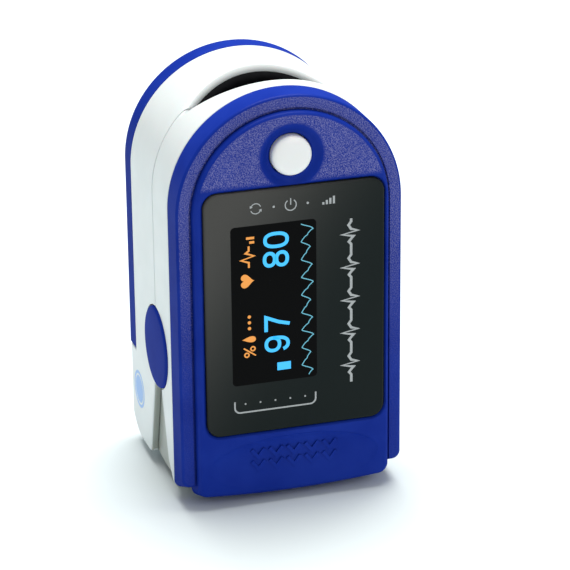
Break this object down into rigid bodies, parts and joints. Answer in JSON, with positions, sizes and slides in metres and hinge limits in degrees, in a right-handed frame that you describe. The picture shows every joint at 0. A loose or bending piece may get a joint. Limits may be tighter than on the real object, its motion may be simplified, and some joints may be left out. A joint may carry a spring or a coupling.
{
  "type": "fingertip pulse oximeter",
  "caption": "Clip-shaped fingertip pulse oximeter: a display half and a battery half hinged on a sprung pin, with a finger channel between them, a power button and a battery door.",
  "frame": {"origin": "middle of the footprint, at the lowest point of the object as it stands on its tail", "axes": "+Z along the length, from the tail to the finger end; +Y from the display to the battery door; X across the width"},
  "size_m": [0.033, 0.0298, 0.059],
  "materials": {
    "blue_shell": "fine spark-eroded texture, satin",
    "white_shell": "smooth semi-gloss white ABS",
    "lens_black": "tinted window, black printed back",
    "button_white": "smooth semi-gloss",
    "silicone_black": "matte silicone",
    "clear_window": "clear epoxy window",
    "steel": "plain",
    "spring_steel": "nickel plated",
    "board_green": "solder mask over glass epoxy",
    "chip_black": "moulded epoxy",
    "ceramic": "fired ceramic with tinned ends",
    "oled_glass": "display glass",
    "foam": "foam tape",
    "flex_amber": "polyimide film",
    "connector_white": "moulded nylon",
    "cell_sleeve": "printed sleeve, plain bands"
  },
  "bodies": {
    "rear_half": {"rear_pad": "silicone_black", "rear_shell": "white_shell", "battery_left": "cell_sleeve", "battery_right": "cell_sleeve", "contact_spring_tail": "spring_steel", "contact_spring_top": "spring_steel", "contact_minus": "spring_steel", "contact_plus": "spring_steel", "contact_bridge": "spring_steel", "hinge_pin": "steel", "hinge_cap_left": "blue_shell", "hinge_cap_right": "blue_shell", "closing_spring_left": "spring_steel", "closing_spring_right": "spring_steel", "sensor_board": "board_green", "photodiode": "chip_black", "sensor_window": "clear_window", "sensor_ribbon_rear": "flex_amber"},
    "front_half": {"front_cover": "blue_shell", "display_lens": "lens_black", "lens_tape": "foam", "front_shell": "white_shell", "front_pad": "silicone_black", "main_board": "board_green", "oled_module": "oled_glass", "oled_foam_tape": "foam", "display_flex": "flex_amber", "tact_switch": "steel", "processor_chip": "chip_black", "sensor_amplifier": "chip_black", "power_converter": "chip_black", "power_coil": "chip_black", "crystal": "steel", "ribbon_connector": "connector_white", "board_capacitors": "ceramic", "emitter_board": "board_green", "emitter_led": "connector_white", "emitter_window": "clear_window", "sensor_ribbon_front": "flex_amber", "cover_screws": "steel"},
    "power_button": {"power_button": "button_white", "switch_plunger": "chip_black"},
    "battery_door": {"battery_door": "blue_shell"}
  },
  "joints": [
    {"name": "clip_hinge", "type": "hinge", "parent": "rear_half", "child": "front_half", "pos_m": [0, -0.00115, 0.02], "axis": [1, 0, 0], "range_deg": [0, 28], "stiffness_Nm_per_rad": 0.25, "springref_deg": -20.05, "deforming": ["closing_spring_left", "closing_spring_right"]},
    {"name": "button_press", "type": "slide", "parent": "front_half", "child": "power_button", "axis": [0, 1, 0], "range_m": [0, 0.0004], "stiffness_N_per_m": 800, "springref_m": -0.0005},
    {"name": "door_slide", "type": "slide", "parent": "rear_half", "child": "battery_door", "axis": [0, 0, 1], "range_m": [0, 0.006]}
  ]
}
